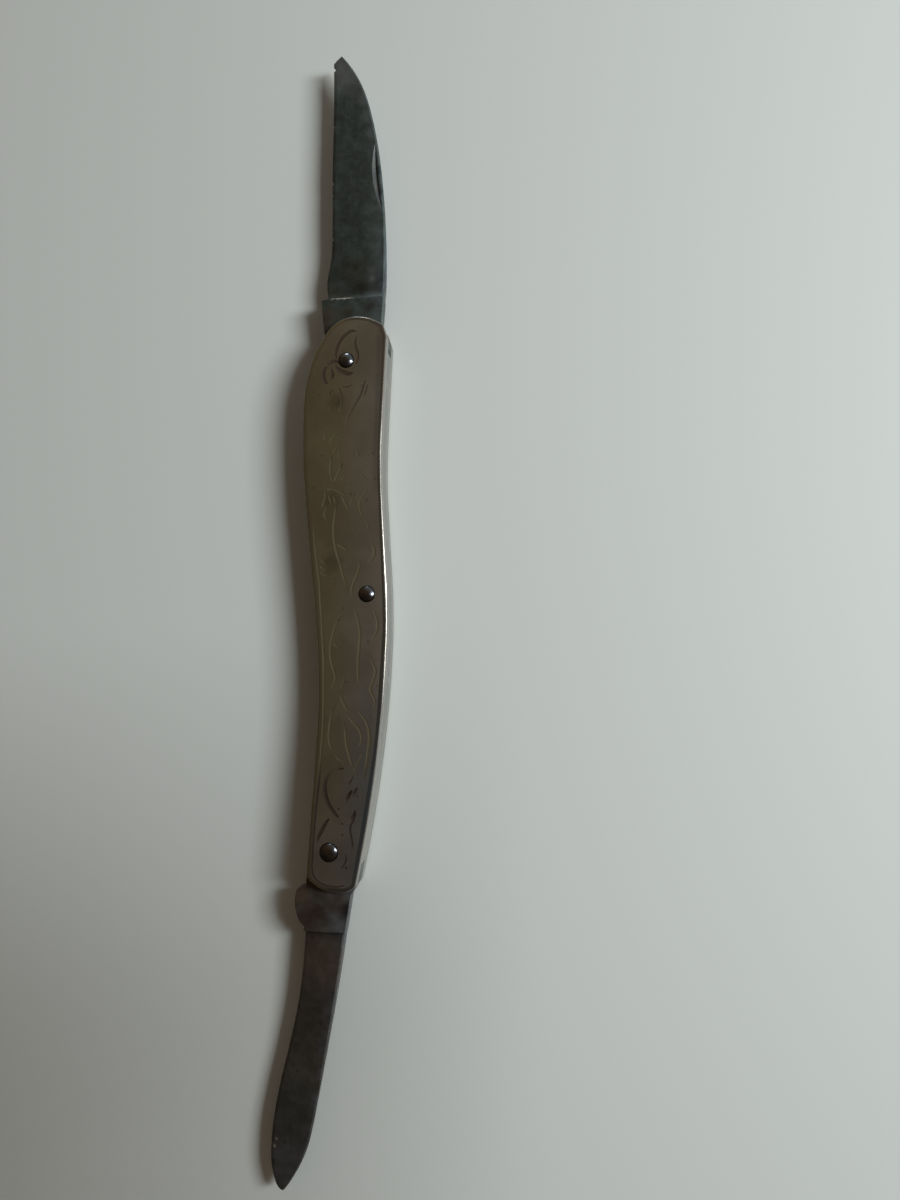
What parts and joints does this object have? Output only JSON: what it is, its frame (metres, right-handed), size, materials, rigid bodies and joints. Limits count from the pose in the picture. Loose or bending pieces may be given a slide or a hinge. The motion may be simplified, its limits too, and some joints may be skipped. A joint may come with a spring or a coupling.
{
  "type": "pocket knife",
  "caption": "Slim double-ended folding pocket knife: engraved serpentine metal handle, backspring between liners, and blades that fold from each end into its slot.",
  "frame": {"origin": "midway between the blade pivots, on the back cover's outer face", "axes": "+Y along the handle to the main blade's pivot, +X to the backspring side, +Z out of the engraved front cover"},
  "size_m": [0.0137, 0.154, 0.006],
  "materials": {
    "cover": "engraved nickel silver, worn and dulled to an olive brown",
    "liner": "thin sheet, dull with a worn bright edge",
    "spring_steel": "ground spring steel, grey patina",
    "blade_steel": "carbon steel with a dark, pitted patina",
    "pin": "peened and rubbed bright in places"
  },
  "bodies": {
    "handle": {"front_cover": "cover", "back_cover": "cover", "front_liner": "liner", "back_liner": "liner", "backspring": "spring_steel", "main_pivot_pin": "pin", "pen_pivot_pin": "pin", "spring_pin": "pin"},
    "main_blade": {"main_blade": "blade_steel"},
    "pen_blade": {"pen_blade": "blade_steel"}
  },
  "joints": [
    {"name": "main_blade_pivot", "type": "hinge", "parent": "handle", "child": "main_blade", "pos_m": [0, 0.0327, 0.0028], "axis": [0, 0, 1], "range_deg": [0, 177], "deforming": ["backspring"]},
    {"name": "pen_blade_pivot", "type": "hinge", "parent": "handle", "child": "pen_blade", "pos_m": [0, -0.0327, 0.0028], "axis": [0, 0, -1], "range_deg": [0, 172], "deforming": ["backspring"]}
  ]
}
